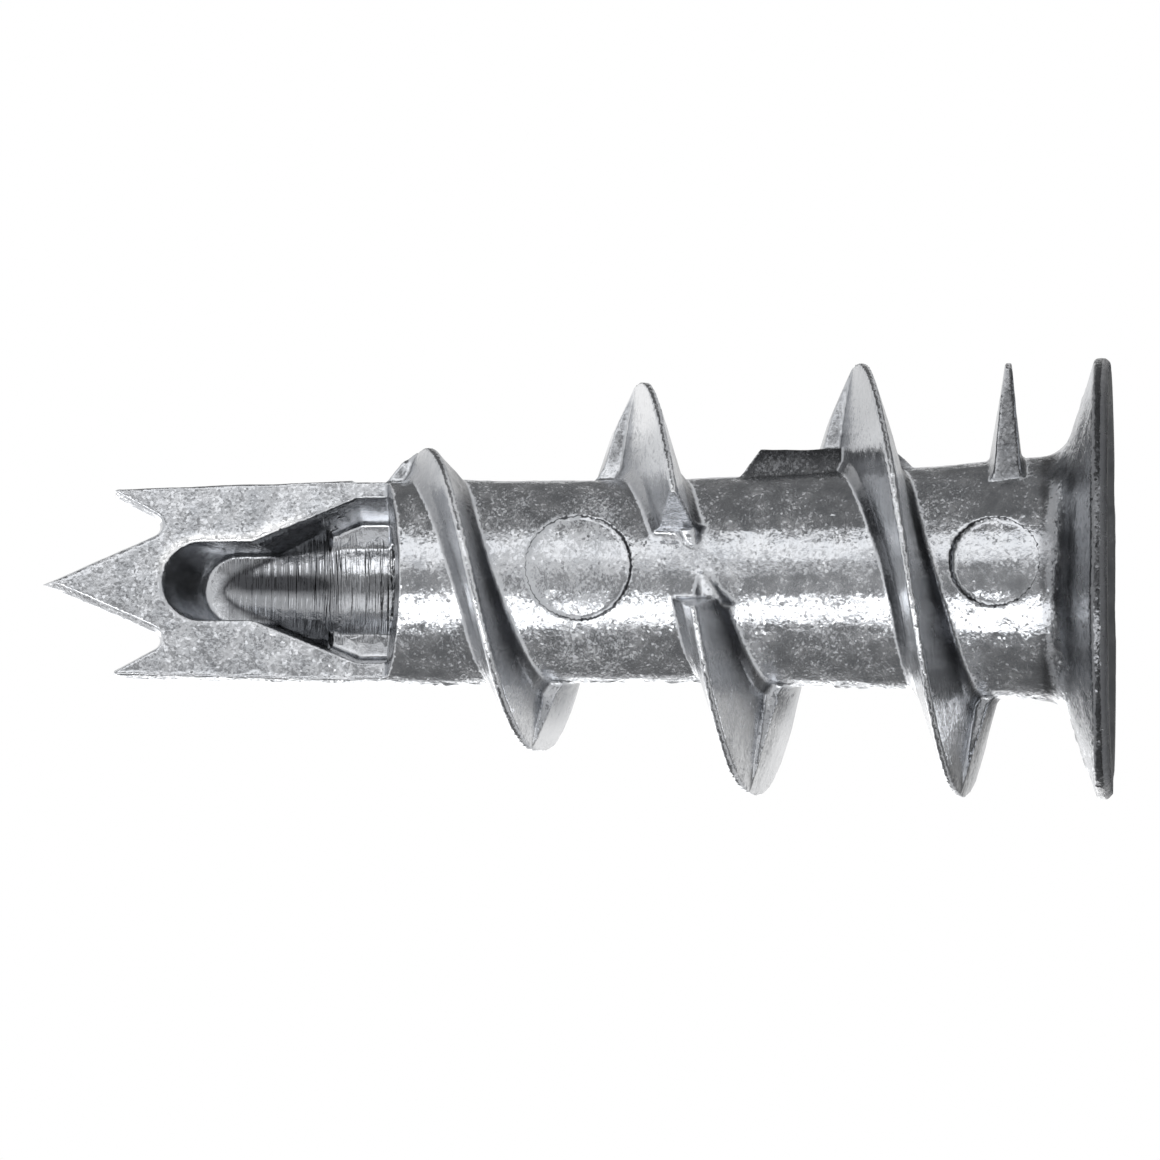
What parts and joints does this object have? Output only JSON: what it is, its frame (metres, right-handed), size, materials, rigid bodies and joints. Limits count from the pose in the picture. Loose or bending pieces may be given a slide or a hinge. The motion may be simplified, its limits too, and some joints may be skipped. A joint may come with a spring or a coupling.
{
  "type": "metal plasterboard anchor",
  "caption": "Self-drilling zinc anchor for plasterboard: toothed drill blade with a screw window, coarse tapered thread, flanged head with a cross recess, and a through screw bore.",
  "frame": {"origin": "centre of the head's front face, on the anchor's axis", "axes": "+Z along the axis from the head to the drill tip, -Y out of the blade's flat face and window, X across the blade"},
  "size_m": [0.013, 0.013, 0.0316],
  "materials": {
    "zinc": "as-cast zinc alloy, bright grey, slightly mottled and grainy"
  },
  "bodies": {
    "root": {"anchor": "zinc"}
  },
  "joints": []
}
